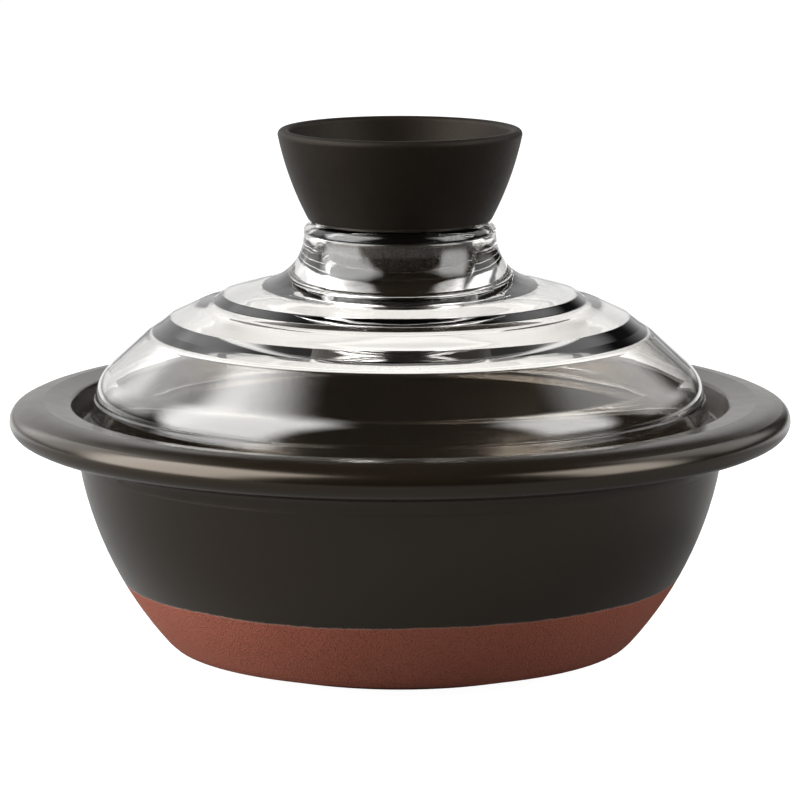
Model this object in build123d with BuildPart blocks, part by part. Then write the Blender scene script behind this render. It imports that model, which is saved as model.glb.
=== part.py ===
from build123d import *
import math
import os

# A donabe: a round clay pot with a wide flat rim and a stepped glass lid.
# Millimetres. The origin is the middle of the foot, on the table, and Z is up.
# Every piece is turned about the Z axis.

# Glass lid: rises are from its lower edge
lid_rim_radius = 118.8
lid_wall = 3.6
lid_rise = 78.5
neck_height = 18.7
neck_gap = 4.2
neck_wall = 4.4
neck_top_wall = 4.0
neck_foot_depth = 13.9
lid_bead_proud = 0.7
lid_bead_rise = 4.8
lid_band_rise = 11.3
lid_band_taper = 0.9
lid_crease_depth = 0.7
lid_crease_run = 0.6
lid_knee_inset = 1.1
lid_knee_height = 6.5
outer_step_run = 4.2
outer_step_drop = 3.3
inner_step_run = 3.2
inner_step_drop = 2.6
neck_shoulder_rounding = 3.6
neck_inner_rounding = 1.5
step_rounding = 1.6
hole_rounding = 1.1
rim_edge_rounding = 1.4
crease_rounding = 0.4
rim_inner_rounding = 1.6
# Corners of the dome: shares of the way out from the neck to the knee, and up from there to the flare
shoulder_shares = (0.757, 0.425)
outer_step_shares = (0.643, 0.582)
crown_shares = (0.513, 0.696)
inner_step_shares = (0.3935, 0.792)
# The inside is smooth: its three corners, in the same shares
inner_shoulder_shares = (0.720, 0.389)
inner_crown_shares = (0.455, 0.606)
inner_throat_shares = (0.164, 0.756)
# Roundings of the dome: the share of a corner's shorter side that they take up
knee_round_share = 0.9
shoulder_round_share = 0.23
crown_round_share = 0.4
flare_round_share = 0.76
inner_shoulder_round_share = 0.065
inner_crown_round_share = 0.042
inner_throat_round_share = 0.109
neck_foot_round_share = 0.209

# Pot: the mouth takes its radius from the lid
lid_play = 4.0
seat_clearance = 0.3
seat_width = 10.3
seat_depth = 9.9
seat_corner_rounding = 2.0
mouth_flare = 3.2
mouth_edge_rounding = 1.6
pot_height = 98.4
rim_width = 23.5
rim_nose_reach = 13.0
rim_nose_thickness = 15.0
rim_nose_round_share = 0.75
rim_nose_drop = 6.1
rim_root_land = 0.8
rim_root_rounding = 7.6
pot_wall = 8.2
belly_top_flare = 2.5
belly_taper = 32.7
belly_foot_rise = 7.8
belly_bulge = 5.3
bowl_bulge = 8.8
bowl_corner_rounding = 16.0
seat_nose_rounding = 3.0
floor_thickness = 10.5
under_corner_run = 2.4
under_corner_rise = 5.6
under_corner_rounding = 3.0
foot_inset = 23.5
foot_ring_width = 10.0
foot_recess_depth = 1.5
foot_edge_rounding = 1.2

# Knob: a flared cup with a hollow threaded stem, held by a nut from below
gasket_thickness = 1.0
knob_height = 34.7
knob_base_radius = 34.9
knob_rim_radius = 47.0
knob_bulge = 1.4
knob_wall = 4.5
knob_floor = 5.6
knob_base_rounding = 0.9
knob_lip_share = 0.46
knob_inner_corner = 6.0
steam_hole_radius = 4.5
stem_radius = 21.4
stem_wall = 3.4
stem_clearance = 0.6
stem_end_gap = 5.2
thread_clearance = 0.08
gasket_inset = 2.2
packing_thickness = 2.4
packing_rounding = 1.5
nut_wall = 6.7
nut_height = 12.4
nut_lip = 2.0
nut_lip_width = 8.5
nut_rounding = 2.4
nut_edge_rounding = 0.5
nut_notch_count = 3
nut_notch_width = 7.0
nut_notch_reach = 4.0

# Cuts run past the faces that they open by this much
overrun = 1.0

# Places that follow from the sizes above
seat_outer_radius = lid_rim_radius + lid_play
seat_inner_radius = seat_outer_radius - seat_width
seat_height = pot_height - seat_depth
mouth_radius = seat_outer_radius + mouth_flare
rim_radius = mouth_radius + rim_width
rim_nose_radius = rim_radius - rim_nose_reach
rim_nose_height = pot_height - rim_nose_drop
belly_top_radius = seat_inner_radius + pot_wall + belly_top_flare
belly_top_height = rim_nose_height - rim_nose_thickness / 2 - rim_root_rounding - rim_root_land
belly_foot_radius = belly_top_radius - belly_taper
bowl_foot_radius = belly_foot_radius - pot_wall
foot_radius = belly_foot_radius - foot_inset
lid_base = seat_height + seat_clearance
lid_top = lid_base + lid_rise
knob_base = lid_top + gasket_thickness
knob_top = knob_base + knob_height
knob_lip_rounding = knob_lip_share * knob_wall
hole_radius = stem_radius + stem_clearance
nut_bore_radius = stem_radius + thread_clearance
nut_radius = nut_bore_radius + nut_wall
nut_lip_radius = nut_bore_radius - nut_lip_width
neck_inner_radius = nut_radius + neck_gap
neck_radius = neck_inner_radius + neck_wall
flare_height = lid_base + lid_rise - neck_height
packing_top = lid_top - neck_top_wall
nut_top = packing_top - packing_thickness
nut_bottom = nut_top - nut_height
stem_bottom = nut_bottom + nut_lip + stem_end_gap


def parallel(corners, gap):
    """Return a run of corners moved by gap to the right of its direction."""
    lines = []
    for (x1, y1), (x2, y2) in zip(corners, corners[1:]):
        length = math.hypot(x2 - x1, y2 - y1)
        right = ((y2 - y1) / length, (x1 - x2) / length)
        lines.append(((x1 + gap * right[0], y1 + gap * right[1]), (x2 - x1, y2 - y1)))
    moved = [lines[0][0]]
    for ((ax, ay), (adx, ady)), ((bx, by), (bdx, bdy)) in zip(lines, lines[1:]):
        along = ((bx - ax) * bdy - (by - ay) * bdx) / (adx * bdy - ady * bdx)
        moved.append((ax + along * adx, ay + along * ady))
    (x, y), (dx, dy) = lines[-1]
    return moved + [(x + dx, y + dy)]


def bend_radius(before, corner, after, share):
    """Return the rounding that takes this share of the shorter side beside the corner."""
    sides = math.dist(before, corner), math.dist(corner, after)
    turn = math.atan2(corner[1] - before[1], corner[0] - before[0])
    turn -= math.atan2(after[1] - corner[1], after[0] - corner[0])
    return share * min(sides) / math.tan(abs(turn) / 2)


def round_corner(sketch, corner, radius):
    """Round the corner of the sketch that lies at corner, given as (radius, height)."""
    fillet(sketch.vertices().sort_by_distance((*corner, 0))[0], radius)


# Pot, one fired piece with its rim, lid seat and foot
foot_recess_radius = foot_radius - foot_ring_width
under_corner = (belly_foot_radius - under_corner_run, under_corner_rise)
belly_foot = (belly_foot_radius, belly_foot_rise)
belly_top = (belly_top_radius, belly_top_height)
rim_root = (belly_top_radius, rim_nose_height - rim_nose_thickness / 2)
# The rim's oval nose is a small tip arc between two larger ones
rim_half = rim_nose_thickness / 2
rim_nose_rounding = rim_nose_round_share * rim_half
nose_run = rim_nose_reach - rim_nose_rounding
nose_rise = rim_half - rim_nose_rounding
rim_crown_rounding = rim_nose_rounding + (nose_run**2 + nose_rise**2) / (2 * nose_rise)
rim_crown_turn = math.degrees(math.atan2(nose_run, rim_crown_rounding - rim_half))
mouth_edge = (mouth_radius, pot_height)
seat_corner = (seat_outer_radius, seat_height)
seat_nose = (seat_inner_radius, seat_height)
bowl_foot = (bowl_foot_radius, floor_thickness)

with BuildPart() as pot:
    with BuildSketch(Plane.XZ) as pot_section:
        with BuildLine():
            Polyline(
                (0, floor_thickness),
                (0, foot_recess_depth),
                (foot_recess_radius, foot_recess_depth),
                (foot_recess_radius, 0),
                (foot_radius, 0),
                under_corner,
                belly_foot,
            )
            SagittaArc(belly_foot, belly_top, -belly_bulge)
            Polyline(belly_top, rim_root, (rim_nose_radius, rim_root[1]))
            under = JernArc((rim_nose_radius, rim_root[1]), (1, 0), rim_crown_rounding, rim_crown_turn)
            tip = JernArc(under @ 1, under % 1, rim_nose_rounding, 180 - 2 * rim_crown_turn)
            upper = JernArc(tip @ 1, tip % 1, rim_crown_rounding, rim_crown_turn)
            Polyline(
                upper @ 1,
                mouth_edge,
                seat_corner,
                seat_nose,
            )
            SagittaArc(seat_nose, bowl_foot, bowl_bulge)
            Line(bowl_foot, (0, floor_thickness))
        make_face()
        round_corner(pot_section, (foot_radius, 0), foot_edge_rounding)
        round_corner(pot_section, under_corner, under_corner_rounding)
        round_corner(pot_section, rim_root, rim_root_rounding)
        round_corner(pot_section, mouth_edge, mouth_edge_rounding)
        round_corner(pot_section, seat_corner, seat_corner_rounding)
        round_corner(pot_section, seat_nose, seat_nose_rounding)
        round_corner(pot_section, bowl_foot, bowl_corner_rounding)
    revolve(axis=Axis.Z)
pot.part.label = "pot"

# Glass lid: dome with two ring steps outside, and a flared neck closed by a drilled top
band_radius = lid_rim_radius - lid_bead_proud
band_top_radius = band_radius - lid_band_taper
crease_corner = (band_top_radius - lid_crease_depth, lid_base + lid_band_rise + lid_crease_run)
knee = (band_top_radius - lid_knee_inset, crease_corner[1] + lid_knee_height)


def dome_corner(shares):
    """Return the corner at these shares of the way from the neck to the knee, and up to the flare."""
    run, rise = shares
    return (neck_radius + run * (knee[0] - neck_radius), knee[1] + rise * (flare_height - knee[1]))


shoulder = dome_corner(shoulder_shares)
outer_step = dome_corner(outer_step_shares)
outer_step_foot = (outer_step[0] + outer_step_run, outer_step[1] - outer_step_drop)
crown = dome_corner(crown_shares)
inner_step = dome_corner(inner_step_shares)
inner_step_foot = (inner_step[0] + inner_step_run, inner_step[1] - inner_step_drop)
flare = (neck_radius, flare_height)
neck_edge = (neck_radius, lid_top)
dome_corners = [
    (hole_radius, lid_top),
    neck_edge,
    flare,
    inner_step,
    inner_step_foot,
    crown,
    outer_step,
    outer_step_foot,
    shoulder,
    knee,
]
rim_corners = [
    crease_corner,
    (band_top_radius, lid_base + lid_band_rise),
    (band_radius, lid_base + lid_bead_rise),
    (lid_rim_radius, lid_base + lid_bead_rise - lid_bead_proud),
    (lid_rim_radius, lid_base),
]
inner_corners = [
    (hole_radius, packing_top),
    (neck_inner_radius, packing_top),
    (neck_inner_radius, flare_height - neck_foot_depth),
    dome_corner(inner_throat_shares),
    dome_corner(inner_crown_shares),
    dome_corner(inner_shoulder_shares),
    parallel([shoulder, knee, (band_radius, lid_base)], lid_wall)[1],
    (band_radius - lid_wall, lid_base),
]
flare_rounding = bend_radius(neck_edge, flare, inner_step, flare_round_share)
crown_rounding = bend_radius(inner_step_foot, crown, outer_step, crown_round_share)
shoulder_rounding = bend_radius(outer_step_foot, shoulder, knee, shoulder_round_share)
knee_rounding = bend_radius(shoulder, knee, crease_corner, knee_round_share)
outer_roundings = [
    neck_shoulder_rounding,
    flare_rounding,
    step_rounding,
    step_rounding,
    crown_rounding,
    step_rounding,
    step_rounding,
    shoulder_rounding,
    knee_rounding,
]
inner_roundings = [
    neck_inner_rounding,
    bend_radius(*inner_corners[1:4], neck_foot_round_share),
    bend_radius(*inner_corners[2:5], inner_throat_round_share),
    bend_radius(*inner_corners[3:6], inner_crown_round_share),
    bend_radius(*inner_corners[4:7], inner_shoulder_round_share),
    knee_rounding - lid_wall,
]

with BuildPart() as lid_glass:
    with BuildSketch(Plane.XZ) as lid_section:
        with BuildLine():
            Polyline(*dome_corners, *rim_corners, *reversed(inner_corners), close=True)
        make_face()
        for corner, rounding in zip(dome_corners[1:], outer_roundings):
            round_corner(lid_section, corner, rounding)
        for corner, rounding in zip(inner_corners[1:], inner_roundings):
            round_corner(lid_section, corner, rounding)
        for corner in rim_corners[:4]:
            round_corner(lid_section, corner, crease_rounding)
        round_corner(lid_section, rim_corners[-1], rim_edge_rounding)
        round_corner(lid_section, inner_corners[-1], rim_inner_rounding)
        round_corner(lid_section, dome_corners[0], hole_rounding)
    revolve(axis=Axis.Z)
lid_glass.part.label = "lid_glass"

# Knob cup with its floor, steam hole and hollow stem
knob_inner_base = (knob_base_radius - knob_wall, knob_base + knob_floor)
knob_inner_top = (knob_rim_radius - knob_wall, knob_top)

with BuildPart() as knob_cup:
    with BuildSketch(Plane.XZ) as knob_section:
        with BuildLine():
            SagittaArc((knob_base_radius, knob_base), (knob_rim_radius, knob_top), -knob_bulge)
            Line((knob_rim_radius, knob_top), knob_inner_top)
            SagittaArc(knob_inner_top, knob_inner_base, knob_bulge)
            Polyline(
                knob_inner_base,
                (steam_hole_radius, knob_base + knob_floor),
                (steam_hole_radius, knob_base),
                (stem_radius - stem_wall, knob_base),
                (stem_radius - stem_wall, stem_bottom),
                (stem_radius, stem_bottom),
                (stem_radius, knob_base),
                (knob_base_radius, knob_base),
            )
        make_face()
        round_corner(knob_section, (knob_base_radius, knob_base), knob_base_rounding)
        round_corner(knob_section, (knob_rim_radius, knob_top), knob_lip_rounding)
        round_corner(knob_section, knob_inner_top, knob_lip_rounding)
        round_corner(knob_section, knob_inner_base, knob_inner_corner)
        round_corner(knob_section, (steam_hole_radius, knob_base + knob_floor), knob_base_rounding)
    revolve(axis=Axis.Z)
knob_cup.part.label = "knob_cup"

# Silicone washer between the cup and the glass
with BuildPart() as knob_gasket:
    with BuildSketch(Plane.XY.offset(lid_top)):
        Circle(neck_radius - neck_shoulder_rounding - gasket_inset)
        Circle(hole_radius, mode=Mode.SUBTRACT)
    extrude(amount=gasket_thickness)
knob_gasket.part.label = "knob_gasket"

# Silicone packing ring between the glass and the nut
with BuildPart() as nut_packing:
    with BuildSketch(Plane.XZ) as packing_section:
        with Locations(((hole_radius + nut_radius) / 2, (packing_top + nut_top) / 2)):
            Rectangle(nut_radius - hole_radius, packing_thickness)
        round_corner(packing_section, (nut_radius, packing_top), packing_rounding)
    revolve(axis=Axis.Z)
nut_packing.part.label = "nut_packing"

# Ring nut on the stem, with a lip below and notches to turn it by
with BuildPart() as knob_nut:
    with BuildSketch(Plane.XZ) as nut_section:
        with BuildLine():
            Polyline(
                (nut_bore_radius, nut_top),
                (nut_radius, nut_top),
                (nut_radius, nut_bottom),
                (nut_lip_radius, nut_bottom),
                (nut_lip_radius, nut_bottom + nut_lip),
                (nut_bore_radius, nut_bottom + nut_lip),
                close=True,
            )
        make_face()
        round_corner(nut_section, (nut_radius, nut_top), nut_edge_rounding)
        round_corner(nut_section, (nut_radius, nut_bottom), nut_rounding)
        round_corner(nut_section, (nut_lip_radius, nut_bottom), nut_edge_rounding)
    revolve(axis=Axis.Z)
    with BuildSketch(Plane.XY.offset(nut_bottom - overrun)):
        with PolarLocations(nut_lip_radius, nut_notch_count):
            SlotCenterToCenter(nut_notch_reach, nut_notch_width)
    extrude(amount=nut_lip + 2 * overrun, mode=Mode.SUBTRACT)
knob_nut.part.label = "knob_nut"

pieces = [pot, lid_glass, knob_cup, knob_gasket, nut_packing, knob_nut]
os.makedirs("parts", exist_ok=True)
for piece in pieces:
    export_step(piece.part, f"parts/{piece.part.label}.step")
    print(piece.part.label, "volume", round(piece.part.volume), "mm3")
print("height over all", round(knob_top, 1), "mm, width over the rim", round(2 * rim_radius, 1), "mm")
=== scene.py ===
# %% [markdown]
# A donabe is a clay pot for cooking at the table. This one has a wide flat rim, a dark satin glaze that
# stops short of the foot, a glass lid pressed with two ring steps, and a black cup for a knob. The solids
# come ready made, at their real size in metres. This script gives them their finishes, turns the lid anew
# in finer steps, and adds a floor, light and a camera.

# %% Load the solids
import math

import bpy
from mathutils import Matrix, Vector


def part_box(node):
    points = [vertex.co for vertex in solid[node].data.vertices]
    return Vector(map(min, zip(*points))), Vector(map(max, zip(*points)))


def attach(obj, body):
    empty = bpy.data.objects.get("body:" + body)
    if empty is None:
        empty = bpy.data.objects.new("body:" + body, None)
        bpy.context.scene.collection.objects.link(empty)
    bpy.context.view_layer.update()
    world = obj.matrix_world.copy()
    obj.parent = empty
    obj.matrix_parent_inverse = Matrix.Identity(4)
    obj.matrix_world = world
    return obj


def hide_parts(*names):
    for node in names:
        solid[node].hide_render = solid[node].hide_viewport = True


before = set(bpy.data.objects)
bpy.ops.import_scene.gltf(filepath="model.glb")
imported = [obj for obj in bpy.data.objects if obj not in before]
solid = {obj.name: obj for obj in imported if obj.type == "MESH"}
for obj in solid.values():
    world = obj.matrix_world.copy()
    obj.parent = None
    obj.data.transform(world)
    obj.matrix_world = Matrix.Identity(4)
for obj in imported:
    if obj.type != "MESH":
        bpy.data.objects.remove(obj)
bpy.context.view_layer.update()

pot_low, pot_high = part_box("pot")
lid_low, lid_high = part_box("lid_glass")
knob_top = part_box("knob_cup")[1].z
print("pieces", sorted(solid))
print("pot is", round(pot_high.x - pot_low.x, 4), "m wide, knob ends at", round(knob_top, 4), "m")


# %% [markdown]
# A finish is a small network of nodes. Every pattern here is read from the piece's own Object
# coordinates, in metres, so a grain of half a millimetre stays half a millimetre on every piece and
# doesn't slide when the lid is lifted. These helpers keep each finish short to read. Lamps and the world
# are networks of nodes too, so the helpers that say "owner" serve them as well.

# %% Helpers for finishes
MILLIMETRE = 0.001


def new_finish(name):
    """Return a new material and its one Principled shader."""
    finish = bpy.data.materials.new(name)
    finish.use_nodes = True
    return finish, finish.node_tree.nodes["Principled BSDF"]


def add_node(owner, kind, **settings):
    """Add a node and set its named options."""
    node = owner.node_tree.nodes.new(kind)
    for key, value in settings.items():
        setattr(node, key, value)
    return node


def join(owner, source, target):
    """Link an output to an input."""
    owner.node_tree.links.new(source, target)


def calculate(owner, operation, first, second):
    """Return the sum, product or other result of two numbers, linked or plain."""
    node = add_node(owner, "ShaderNodeMath", operation=operation)
    for socket, value in zip(node.inputs, (first, second)):
        if isinstance(value, (int, float)):
            socket.default_value = value
        else:
            join(owner, value, socket)
    return node.outputs["Value"]


def spread(owner, value, low, high, new_low=0.0, new_high=1.0, smooth=False):
    """Return the value with low to high stretched to new_low to new_high."""
    node = add_node(owner, "ShaderNodeMapRange")
    node.interpolation_type = "SMOOTHSTEP" if smooth else "LINEAR"
    join(owner, value, node.inputs["Value"])
    for name, number in zip(("From Min", "From Max", "To Min", "To Max"), (low, high, new_low, new_high)):
        node.inputs[name].default_value = number
    return node.outputs["Result"]


def split(owner, place):
    """Return the outputs X, Y and Z of a place."""
    node = add_node(owner, "ShaderNodeSeparateXYZ")
    join(owner, place, node.inputs["Vector"])
    return node.outputs


def place_on_piece(finish):
    """Return the piece's own coordinates, in metres."""
    return add_node(finish, "ShaderNodeTexCoord").outputs["Object"]


def cloud(finish, place, grain, detail=2.0):
    """Return soft noise from 0 to 1, whose patches are about one grain across."""
    node = add_node(finish, "ShaderNodeTexNoise")
    node.inputs["Scale"].default_value = 1 / grain
    node.inputs["Detail"].default_value = detail
    join(finish, place, node.inputs["Vector"])
    return node.outputs["Fac"]


def blend_colours(finish, share, first, second):
    """Return first where share is 0 and second where it is 1. Each is a colour or a linked one."""
    node = add_node(finish, "ShaderNodeMix", data_type="RGBA")
    join(finish, share, node.inputs["Factor"])
    for name, colour in (("A", first), ("B", second)):
        socket = [s for s in node.inputs if s.name == name and s.type == "RGBA"][0]
        if isinstance(colour, tuple):
            socket.default_value = (*colour, 1.0)
        else:
            join(finish, colour, socket)
    return [s for s in node.outputs if s.type == "RGBA"][0]


def raise_surface(finish, shader, height):
    """Let a height in millimetres tilt the surface's shading."""
    node = add_node(finish, "ShaderNodeBump")
    node.inputs["Distance"].default_value = MILLIMETRE
    node.inputs["Strength"].default_value = 1.0
    join(finish, height, node.inputs["Height"])
    join(finish, node.outputs["Normal"], shader.inputs["Normal"])


def wear(name, finish):
    """Give a solid its finish."""
    slots = solid[name].data.materials
    slots.clear()
    slots.append(finish)
    print(name, "wears", finish.name)


# %% [markdown]
# The potter dips the pot upside down, holding it by the foot, so the glaze ends in a line that leans a
# little and wanders by half a millimetre. Below it the iron-red clay stays bare and gritty. One finish
# covers the whole pot, and the height above that line chooses between glaze and clay.

# %% Glaze and bare clay
GLAZE_LINE = 31.6 * MILLIMETRE
GLAZE_LEAN = 0.007
GLAZE_EDGE = 0.25 * MILLIMETRE
GLAZE_THIN_BAND = 0.9 * MILLIMETRE
BOWL_RADIUS = 78.0 * MILLIMETRE
BOWL_SLOPE = 0.78
UNDER_FLOOR = 8.0 * MILLIMETRE

GLAZE_DARK = (0.0056, 0.0038, 0.0022)
GLAZE_LIGHT = (0.0080, 0.0055, 0.0033)
GLAZE_SHINE = (0.96, 0.82, 0.68)
GLAZE_THIN = (0.25, 0.130, 0.100)
CLAY_RED = (0.196, 0.047, 0.027)
CLAY_PALE = (0.270, 0.085, 0.053)
CLAY_DARK = (0.070, 0.018, 0.010)

# Sizes of the patterns
WANDER_SIZE = 45.0 * MILLIMETRE
RAGGED_SIZE = 2.2 * MILLIMETRE
CLOUD_SIZE = 28.0 * MILLIMETRE
PATCH_SIZE = 30.0 * MILLIMETRE
GRIT_SIZE = 0.65 * MILLIMETRE
SHEEN_SIZE = 6.0 * MILLIMETRE
SKIN_SIZE = 1.6 * MILLIMETRE

# How each pattern is stretched: its low and high, and what they become
WANDER = (0.0, 1.0, -1.1, 1.1)
RAGGED = (0.0, 1.0, -0.35, 0.35)
CLAY_PATCHES = (0.2, 0.8, 0.0, 0.35)
DARK_GRIT = (0.55, 0.68, 0.0, 0.75)
PALE_GRIT = (0.45, 0.32, 0.0, 0.45)
GLAZE_ROUGHNESS = (0.3, 0.7, 0.19, 0.23)
GLAZE_SKIN = (0.0, 1.0, 0.0, 0.008)

# How much rougher the clay is, and heights in millimetres
CLAY_ROUGHER = 0.57
GRIT_HEIGHT = 0.30
GLAZE_HEIGHT = 0.30

pot_finish, pot_shader = new_finish("glazed_clay")
pot_shader.inputs["Specular Tint"].default_value = (*GLAZE_SHINE, 1.0)
place = place_on_piece(pot_finish)
parts = split(pot_finish, place)

wander = spread(pot_finish, cloud(pot_finish, place, WANDER_SIZE), *WANDER)
ragged = spread(pot_finish, cloud(pot_finish, place, RAGGED_SIZE), *RAGGED)
wobble = calculate(pot_finish, "ADD", wander, ragged)
lean = calculate(pot_finish, "MULTIPLY", parts["X"], GLAZE_LEAN)
line = calculate(pot_finish, "ADD", lean, GLAZE_LINE)
line = calculate(pot_finish, "ADD", line, calculate(pot_finish, "MULTIPLY", wobble, MILLIMETRE))
above_line = calculate(pot_finish, "SUBTRACT", parts["Z"], line)
above_edge = spread(pot_finish, above_line, 0.0, GLAZE_EDGE, smooth=True)

# The bowl is glazed all over inside, so only the skin outside this cone can be bare
squares = [calculate(pot_finish, "MULTIPLY", parts[axis], parts[axis]) for axis in "XY"]
from_axis = calculate(pot_finish, "SQRT", calculate(pot_finish, "ADD", *squares), 0.0)
cone = calculate(pot_finish, "MULTIPLY", parts["Z"], BOWL_SLOPE)
cone = calculate(pot_finish, "ADD", cone, BOWL_RADIUS)
inside = calculate(pot_finish, "LESS_THAN", from_axis, cone)
above_floor = calculate(pot_finish, "GREATER_THAN", parts["Z"], UNDER_FLOOR)
inside = calculate(pot_finish, "MULTIPLY", inside, above_floor)
glazed = calculate(pot_finish, "MAXIMUM", above_edge, inside)
thick = spread(pot_finish, above_line, 0.0, GLAZE_THIN_BAND, smooth=True)
thick = calculate(pot_finish, "MAXIMUM", thick, inside)

clouded = cloud(pot_finish, place, CLOUD_SIZE, 4.0)
glaze_colour = blend_colours(pot_finish, clouded, GLAZE_DARK, GLAZE_LIGHT)
glaze_colour = blend_colours(pot_finish, thick, GLAZE_THIN, glaze_colour)

patches = spread(pot_finish, cloud(pot_finish, place, PATCH_SIZE), *CLAY_PATCHES)
clay_colour = blend_colours(pot_finish, patches, CLAY_RED, CLAY_PALE)
grit = cloud(pot_finish, place, GRIT_SIZE)
dark_grit = spread(pot_finish, grit, *DARK_GRIT)
pale_grit = spread(pot_finish, grit, *PALE_GRIT)
clay_colour = blend_colours(pot_finish, dark_grit, clay_colour, CLAY_DARK)
clay_colour = blend_colours(pot_finish, pale_grit, clay_colour, CLAY_PALE)
pot_colour = blend_colours(pot_finish, glazed, clay_colour, glaze_colour)
join(pot_finish, pot_colour, pot_shader.inputs["Base Color"])

sheen_patches = cloud(pot_finish, place, SHEEN_SIZE, 3.0)
glaze_roughness = spread(pot_finish, sheen_patches, *GLAZE_ROUGHNESS)
clay_share = calculate(pot_finish, "SUBTRACT", 1.0, glazed)
clay_roughness = calculate(pot_finish, "MULTIPLY", clay_share, CLAY_ROUGHER)
roughness = calculate(pot_finish, "ADD", glaze_roughness, clay_roughness)
join(pot_finish, roughness, pot_shader.inputs["Roughness"])

glaze_skin = spread(pot_finish, cloud(pot_finish, place, SKIN_SIZE), *GLAZE_SKIN)
clay_skin = calculate(pot_finish, "MULTIPLY", grit, GRIT_HEIGHT)
clay_skin = calculate(pot_finish, "MULTIPLY", clay_skin, clay_share)
glaze_step = calculate(pot_finish, "MULTIPLY", thick, GLAZE_HEIGHT)
height = calculate(pot_finish, "ADD", glaze_step, clay_skin)
height = calculate(pot_finish, "ADD", height, glaze_skin)
raise_surface(pot_finish, pot_shader, height)
wear("pot", pot_finish)


# %% [markdown]
# The lid is one pressing of clear glass. Its outside has a bead, a band and two ring steps, and its inside
# is smooth, so the wall is thick where the neck meets the dome. That wedge bends the view down into the
# dark pot, which is why the foot of the neck looks black. The solid already has this shape, but its
# triangles would show in every bent ray. A turned shape is best made as on a lathe: one section, drawn once
# with true round corners, then spun in fine even steps.

# %% Section of the lid, in millimetres
LID_BASE = lid_low.z / MILLIMETRE
LID_TOP = lid_high.z / MILLIMETRE
RIM_RADIUS = lid_high.x / MILLIMETRE
HOLE_RADIUS = 22.0
NECK_INNER_RADIUS = 32.4
NECK_WALL = 4.4
NECK_TOP_WALL = 4.0
NECK_HEIGHT = 18.7
NECK_FOOT_DEPTH = 13.9
DOME_WALL = 3.6
BEAD_PROUD = 0.7
BEAD_RISE = 4.8
BAND_RISE = 11.3
BAND_TAPER = 0.9
CREASE_DEPTH = 0.7
CREASE_RUN = 0.6
KNEE_INSET = 1.1
KNEE_HEIGHT = 6.5
# Shares of the way out from the neck to the knee, and up from there to the flare
INNER_STEP_SHARES = (0.3935, 0.792)
CROWN_SHARES = (0.513, 0.696)
OUTER_STEP_SHARES = (0.643, 0.582)
SHOULDER_SHARES = (0.757, 0.425)
INNER_THROAT_SHARES = (0.164, 0.756)
INNER_CROWN_SHARES = (0.455, 0.606)
INNER_SHOULDER_SHARES = (0.720, 0.389)
# How far each step leads outwards and upwards
INNER_STEP = (3.2, -2.6)
OUTER_STEP = (4.2, -3.3)
# Roundings
RIM_INNER_ROUND = 1.6
INNER_SHOULDER_ROUND = 8.2
INNER_CROWN_ROUND = 13.3
INNER_THROAT_ROUND = 8.0
NECK_FOOT_ROUND = 3.0
NECK_INNER_ROUND = 1.5
HOLE_ROUND = 1.1
NECK_TOP_ROUND = 3.6
FLARE_ROUND = 18.7
STEP_ROUND = 1.6
CROWN_ROUND = 24.0
SHOULDER_ROUND = 17.1
KNEE_ROUND = 14.5
CREASE_ROUND = 0.4
RIM_ROUND = 1.4
SHARP = 0.0

neck_radius = NECK_INNER_RADIUS + NECK_WALL
band_radius = RIM_RADIUS - BEAD_PROUD
band_top = (band_radius - BAND_TAPER, LID_BASE + BAND_RISE)
crease = (band_top[0] - CREASE_DEPTH, band_top[1] + CREASE_RUN)
knee = (band_top[0] - KNEE_INSET, crease[1] + KNEE_HEIGHT)
flare = (neck_radius, LID_TOP - NECK_HEIGHT)


def dome_corner(shares, move=(0.0, 0.0)):
    """Return the corner at these shares of the dome, moved by (outwards, upwards)."""
    run, rise = shares
    radius = flare[0] + run * (knee[0] - flare[0])
    return (radius + move[0], knee[1] + rise * (flare[1] - knee[1]) + move[1])


def move_in(corners, gap):
    """Return the middle corners of a run, moved in to make a wall of this thickness."""
    sides = []
    for (x1, y1), (x2, y2) in zip(corners, corners[1:]):
        length = math.dist((x1, y1), (x2, y2))
        sides.append((x1 + gap * (y2 - y1) / length, y1 - gap * (x2 - x1) / length, x2 - x1, y2 - y1))
    moved = []
    for (ax, ay, adx, ady), (bx, by, bdx, bdy) in zip(sides, sides[1:]):
        along = ((bx - ax) * bdy - (by - ay) * bdx) / (adx * bdy - ady * bdx)
        moved.append((ax + along * adx, ay + along * ady))
    return moved


(inner_knee,) = move_in([dome_corner(SHOULDER_SHARES), knee, (band_radius, LID_BASE)], DOME_WALL)
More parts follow.
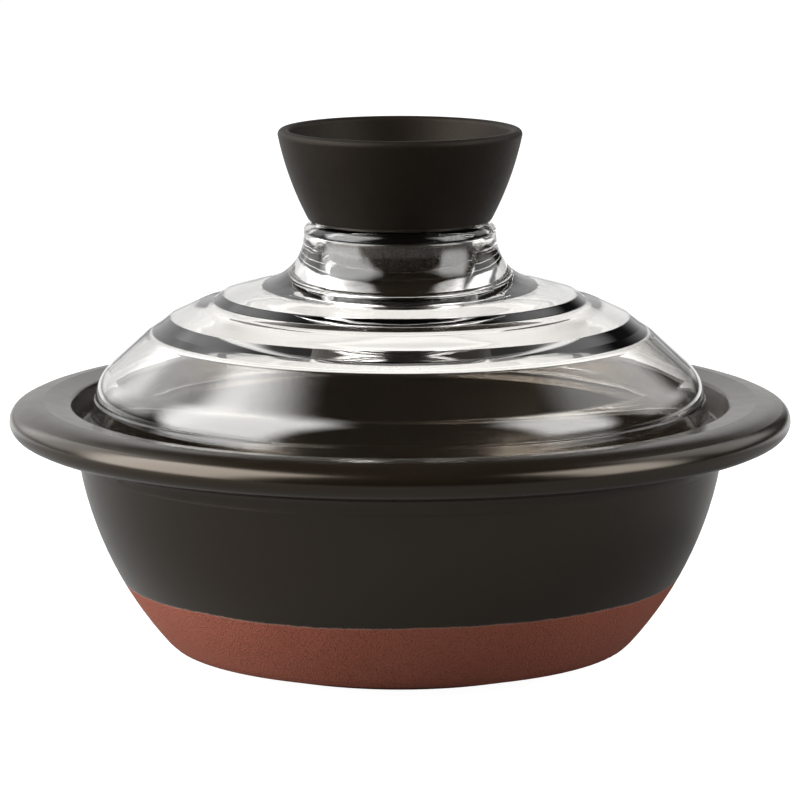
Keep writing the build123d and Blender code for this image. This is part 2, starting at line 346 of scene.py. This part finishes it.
# Each corner with its rounding, first up the inside and then down the outside
lid_section = [
    ((band_radius - DOME_WALL, LID_BASE), RIM_INNER_ROUND),
    (inner_knee, KNEE_ROUND - DOME_WALL),
    (dome_corner(INNER_SHOULDER_SHARES), INNER_SHOULDER_ROUND),
    (dome_corner(INNER_CROWN_SHARES), INNER_CROWN_ROUND),
    (dome_corner(INNER_THROAT_SHARES), INNER_THROAT_ROUND),
    ((NECK_INNER_RADIUS, flare[1] - NECK_FOOT_DEPTH), NECK_FOOT_ROUND),
    ((NECK_INNER_RADIUS, LID_TOP - NECK_TOP_WALL), NECK_INNER_ROUND),
    ((HOLE_RADIUS, LID_TOP - NECK_TOP_WALL), SHARP),
    ((HOLE_RADIUS, LID_TOP), HOLE_ROUND),
    ((neck_radius, LID_TOP), NECK_TOP_ROUND),
    (flare, FLARE_ROUND),
    (dome_corner(INNER_STEP_SHARES), STEP_ROUND),
    (dome_corner(INNER_STEP_SHARES, INNER_STEP), STEP_ROUND),
    (dome_corner(CROWN_SHARES), CROWN_ROUND),
    (dome_corner(OUTER_STEP_SHARES), STEP_ROUND),
    (dome_corner(OUTER_STEP_SHARES, OUTER_STEP), STEP_ROUND),
    (dome_corner(SHOULDER_SHARES), SHOULDER_ROUND),
    (knee, KNEE_ROUND),
    (crease, CREASE_ROUND),
    (band_top, CREASE_ROUND),
    ((band_radius, LID_BASE + BEAD_RISE), CREASE_ROUND),
    ((RIM_RADIUS, LID_BASE + BEAD_RISE - BEAD_PROUD), CREASE_ROUND),
    ((RIM_RADIUS, LID_BASE), RIM_ROUND),
]
print("lid section has", len(lid_section), "corners")

# %% Spin the lid
ARC_STEP = math.radians(4.0)
FEWEST_STEPS = 3
LONGEST_RUN = 4.0
TURN_STEPS = 240
WELD_GAP = 0.01 * MILLIMETRE


def round_off(section):
    """Return the outline of a closed section, with each rounding as an arc and long runs divided."""
    outline = []
    corners = [Vector(corner) for corner, rounding in section]
    roundings = [rounding for corner, rounding in section]
    for index, (corner, rounding) in enumerate(zip(corners, roundings)):
        back = (corners[index - 1] - corner).normalized()
        ahead = (corners[(index + 1) % len(corners)] - corner).normalized()
        half = back.angle(ahead) / 2
        reach = rounding / math.tan(half)
        middle = corner + (back + ahead).normalized() * rounding / math.sin(half)
        start = corner + back * reach - middle
        # The arc leaves its start along the side that leads in, and that tells left from right
        turn = math.copysign(math.pi - 2 * half, start.y * back.x - start.x * back.y)
        steps = max(FEWEST_STEPS, math.ceil(abs(turn) / ARC_STEP)) if rounding else 0
        for step in range(steps + 1):
            angle = turn * step / steps if steps else 0.0
            spoke = Vector((start.x * math.cos(angle) - start.y * math.sin(angle),
                            start.x * math.sin(angle) + start.y * math.cos(angle)))
            outline.append(middle + spoke)
    divided = []
    for point, following in zip(outline, outline[1:] + outline[:1]):
        pieces = math.ceil((following - point).length / LONGEST_RUN)
        divided += [point.lerp(following, piece / pieces) for piece in range(pieces)]
    return divided


def spin_piece(name, section):
    """Return a closed turned piece with this section, whose measures are millimetres."""
    outline = round_off(section)
    bpy.ops.object.select_all(action="DESELECT")
    bpy.ops.mesh.primitive_circle_add(vertices=len(outline))
    piece = bpy.context.object
    piece.name = name
    for vertex, (radius, height) in zip(piece.data.vertices, outline):
        vertex.co = (radius * MILLIMETRE, 0.0, height * MILLIMETRE)
    bpy.ops.object.mode_set(mode="EDIT")
    bpy.ops.mesh.select_all(action="SELECT")
    bpy.ops.mesh.spin(steps=TURN_STEPS, angle=2 * math.pi, center=(0, 0, 0), axis=(0, 0, 1))
    bpy.ops.mesh.select_all(action="SELECT")
    bpy.ops.mesh.remove_doubles(threshold=WELD_GAP)
    bpy.ops.mesh.normals_make_consistent(inside=False)
    bpy.ops.object.mode_set(mode="OBJECT")
    bpy.ops.object.shade_smooth()
    print(name, "has", len(outline), "points in its outline and", len(piece.data.polygons), "faces")
    return piece


lid = spin_piece("turned_lid", lid_section)
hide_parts("lid_glass")
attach(lid, "lid")


# %% [markdown]
# The lid is pressed borosilicate glass. Glass needs three things: it lets light through, it bends it,
# and its pressed skin is never quite flat, so reflections wobble a little. The neck cools last and is the
# most uneven, with streaks that run up and down. Lamps would be stopped by glass like by a wall, so for
# their rays alone it is swapped for a clear shader with a faint tint.

# %% Clear glass
GLASS_TINT = (0.975, 0.962, 0.940)
GLASS_SHADE = (0.86, 0.87, 0.86)
GLASS_BEND = 1.48
RIPPLE_SIZE = 22.0 * MILLIMETRE
RIPPLE_DEPTH = 0.06
NECK_FOOT = 140.0 * MILLIMETRE
NECK_EVEN = 152.0 * MILLIMETRE
STREAK_SIZE = 9.0 * MILLIMETRE
STREAK_LENGTH = 2.5
STREAK_DEPTH = 0.30

glass_finish, glass_shader = new_finish("clear_glass")
glass_shader.inputs["Base Color"].default_value = (*GLASS_TINT, 1.0)
glass_shader.inputs["Roughness"].default_value = 0.0
glass_shader.inputs["IOR"].default_value = GLASS_BEND
glass_shader.inputs["Transmission Weight"].default_value = 1.0
place = place_on_piece(glass_finish)
ripple = cloud(glass_finish, place, RIPPLE_SIZE, 0.0)
ripple = spread(glass_finish, ripple, 0.0, 1.0, 0.0, RIPPLE_DEPTH)
height = split(glass_finish, place)["Z"]
neck_share = spread(glass_finish, height, NECK_FOOT, NECK_EVEN, 0.0, STREAK_DEPTH, smooth=True)
stretched = add_node(glass_finish, "ShaderNodeVectorMath", operation="DIVIDE")
join(glass_finish, place, stretched.inputs[0])
stretched.inputs[1].default_value = (1.0, 1.0, STREAK_LENGTH)
streaks = cloud(glass_finish, stretched.outputs["Vector"], STREAK_SIZE, 1.0)
uneven = calculate(glass_finish, "MULTIPLY", streaks, neck_share)
raise_surface(glass_finish, glass_shader, calculate(glass_finish, "ADD", ripple, uneven))

lamp_rays = add_node(glass_finish, "ShaderNodeLightPath").outputs["Is Shadow Ray"]
clear = add_node(glass_finish, "ShaderNodeBsdfTransparent")
clear.inputs["Color"].default_value = (*GLASS_SHADE, 1.0)
either = add_node(glass_finish, "ShaderNodeMixShader")
join(glass_finish, lamp_rays, either.inputs["Fac"])
join(glass_finish, glass_shader.outputs["BSDF"], either.inputs[1])
join(glass_finish, clear.outputs["BSDF"], either.inputs[2])
surface_out = [n for n in glass_finish.node_tree.nodes if n.type == "OUTPUT_MATERIAL"][0]
join(glass_finish, either.outputs["Shader"], surface_out.inputs["Surface"])
lid.data.materials.append(glass_finish)


# %% [markdown]
# The knob is moulded from heat-proof resin with a fine spark-eroded grain. The grain is what makes the
# lip glitter softly where the light grazes it, so it is a real height here and not just a roughness. The
# nut is a smoother resin, and the gasket and the packing are silicone.

# %% Grained resin, nut resin and silicone
KNOB_BLACK = (0.0044, 0.0030, 0.0018)
NUT_BLACK = (0.0060, 0.0050, 0.0042)
SILICONE_BLACK = (0.0100, 0.0090, 0.0085)
WARM_SHINE = (1.0, 0.85, 0.72)
MOTTLE_SIZE = 14.0 * MILLIMETRE
MOTTLE_LIGHTER = 1.25
GLOSSIER = 0.05
DULLER = 0.06


def moulded(name, colour, roughness, grain, depth, shine=0.5):
    """Return a finish for a moulded piece: its colour, gloss, and a grain of that size and depth in mm."""
    finish, shader = new_finish(name)
    shader.inputs["Specular IOR Level"].default_value = shine
    shader.inputs["Specular Tint"].default_value = (*WARM_SHINE, 1.0)
    where = place_on_piece(finish)
    mottle = cloud(finish, where, MOTTLE_SIZE, 3.0)
    lighter = tuple(MOTTLE_LIGHTER * channel for channel in colour)
    join(finish, blend_colours(finish, mottle, colour, lighter), shader.inputs["Base Color"])
    grained = cloud(finish, where, grain * MILLIMETRE, 3.0)
    gloss = spread(finish, grained, 0.3, 0.7, roughness - GLOSSIER, roughness + DULLER)
    join(finish, gloss, shader.inputs["Roughness"])
    raise_surface(finish, shader, calculate(finish, "MULTIPLY", grained, depth))
    return finish


wear("knob_cup", moulded("knob_resin", KNOB_BLACK, roughness=0.50, grain=0.5, depth=0.16, shine=0.14))
wear("knob_nut", moulded("nut_resin", NUT_BLACK, roughness=0.28, grain=0.9, depth=0.01, shine=0.32))
silicone = moulded("silicone", SILICONE_BLACK, roughness=0.45, grain=0.4, depth=0.01)
wear("knob_gasket", silicone)
wear("nut_packing", silicone)


# %% [markdown]
# The pot stands on a plain pale floor, wide enough to fill the picture. A pot this dark mirrors whatever
# is bright, so the floor in front stays out of its reflections, as a black card before the pot would do.
# Behind the pot it glows like a lit paper sweep, which the glass mirrors along its outline.

# %% Floor
FLOOR_SIZE = 16.0
FLOOR_COLOUR = (0.26, 0.26, 0.26)
FLOOR_ROUGHNESS = 0.9
FLOOR_GLOW = 0.97
SWEEP_GLOW = 0.75
SWEEP_START = 0.20
SWEEP_END = 0.60
WHITE = (1.0, 1.0, 1.0, 1.0)


def straight_view(owner):
    """Return 1 where the camera looks straight or through clear glass, and 0 in mirrors and for light."""
    path = add_node(owner, "ShaderNodeLightPath")
    through = path.outputs["Is Transmission Ray"]
    for depth in ("Glossy Depth", "Diffuse Depth"):
        none_yet = calculate(owner, "LESS_THAN", path.outputs[depth], 0.5)
        through = calculate(owner, "MULTIPLY", none_yet, through)
    return calculate(owner, "MAXIMUM", path.outputs["Is Camera Ray"], through)


bpy.ops.mesh.primitive_plane_add(size=FLOOR_SIZE)
floor = bpy.context.object
floor.name = "floor"
floor_finish, floor_shader = new_finish("pale_floor")
floor_shader.inputs["Base Color"].default_value = (*FLOOR_COLOUR, 1.0)
floor_shader.inputs["Roughness"].default_value = FLOOR_ROUGHNESS
floor_shader.inputs["Specular IOR Level"].default_value = 0.0
floor_shader.inputs["Emission Color"].default_value = WHITE
seen = calculate(floor_finish, "MULTIPLY", straight_view(floor_finish), FLOOR_GLOW)
away = split(floor_finish, place_on_piece(floor_finish))["Y"]
behind = spread(floor_finish, away, SWEEP_START, SWEEP_END, 0.0, SWEEP_GLOW, smooth=True)
glow = calculate(floor_finish, "MAXIMUM", seen, behind)
join(floor_finish, glow, floor_shader.inputs["Emission Strength"])
floor.data.materials.append(floor_finish)


# %% [markdown]
# Glass and glaze are lit by what they mirror. Two tall soft boxes stand left and right, a little in front
# of the pot, and leave a dark strip down its middle. Dimmer ones behind them carry the light round the
# lid's shoulder, as pale walls would. Every box fades towards its edges, like a lamp behind cloth.

# %% Soft boxes
POT_MIDDLE = Vector((0.0, 0.0, 0.5 * knob_top))


def soft_box(name, place, width, height, brightness, fade):
    """Add a rectangular lamp that faces the pot and fades to nothing over this share of each side."""
    bpy.ops.object.light_add(type="AREA", location=place)
    box = bpy.context.object
    box.name = name
    box.rotation_euler = (POT_MIDDLE - box.location).to_track_quat("-Z", "Y").to_euler()
    box.visible_camera = False
    lamp = box.data
    lamp.shape = "RECTANGLE"
    lamp.size = width
    lamp.size_y = height
    lamp.energy = brightness * width * height * math.pi
    lamp.use_nodes = True
    sides = split(lamp, add_node(lamp, "ShaderNodeNewGeometry").outputs["Parametric"])
    levels = []
    for axis in "XY":
        from_middle = calculate(lamp, "ABSOLUTE", calculate(lamp, "SUBTRACT", sides[axis], 0.5), 0.0)
        levels.append(spread(lamp, from_middle, 0.5, 0.5 - fade, smooth=True))
    join(lamp, calculate(lamp, "MULTIPLY", *levels), lamp.node_tree.nodes["Emission"].inputs["Strength"])


soft_box("left_box", (-1.20, -0.38, 0.85), width=2.00, height=2.50, brightness=8.6, fade=0.25)
soft_box("right_box", (1.38, -0.52, 0.93), width=1.40, height=2.05, brightness=6.8, fade=0.30)
soft_box("left_wall", (-1.23, 0.88, 0.92), width=1.60, height=2.10, brightness=1.8, fade=0.30)
soft_box("right_wall", (1.27, 0.80, 1.10), width=1.50, height=2.00, brightness=1.5, fade=0.28)
soft_box("back_wall", (-0.50, 2.20, 0.75), width=3.60, height=1.60, brightness=0.8, fade=0.20)

# %% [markdown]
# The world is white where the camera looks straight at it or through the glass, and a dim grey in
# mirrors, so the pot keeps its dark front from every side.

# %% World
SKY_SEEN = 1.0
SKY_LIGHT = 0.03

world = bpy.data.worlds.new("studio")
bpy.context.scene.world = world
world.use_nodes = True
backdrop = world.node_tree.nodes["Background"]
backdrop.inputs["Color"].default_value = WHITE
sky_level = spread(world, straight_view(world), 0.0, 1.0, SKY_LIGHT, SKY_SEEN)
join(world, sky_level, backdrop.inputs["Strength"])

# %% [markdown]
# The camera is a long lens, a little above the pot. Its height, distance and angle of view come from the
# ellipses of the rim, the mouth and the knob: how open each looks gives the height, and how much more
# open the lower ones look gives the distance.

# %% Camera
PHOTO_WIDTH = 800
FOCAL_PIXELS = 4692
SENSOR_WIDTH = 36.0
CAMERA_DISTANCE = 1.800
CAMERA_RISE = math.radians(9.6)
AIM = Vector((0.0, 0.0, 0.0983))

toward_camera = Vector((0.0, -math.cos(CAMERA_RISE), math.sin(CAMERA_RISE)))
bpy.ops.object.camera_add(location=AIM + CAMERA_DISTANCE * toward_camera)
camera = bpy.context.object
camera.rotation_euler = (-toward_camera).to_track_quat("-Z", "Y").to_euler()
camera.data.sensor_width = SENSOR_WIDTH
camera.data.lens = FOCAL_PIXELS / PHOTO_WIDTH * SENSOR_WIDTH
bpy.context.scene.camera = camera
bpy.context.scene.view_settings.view_transform = "Standard"
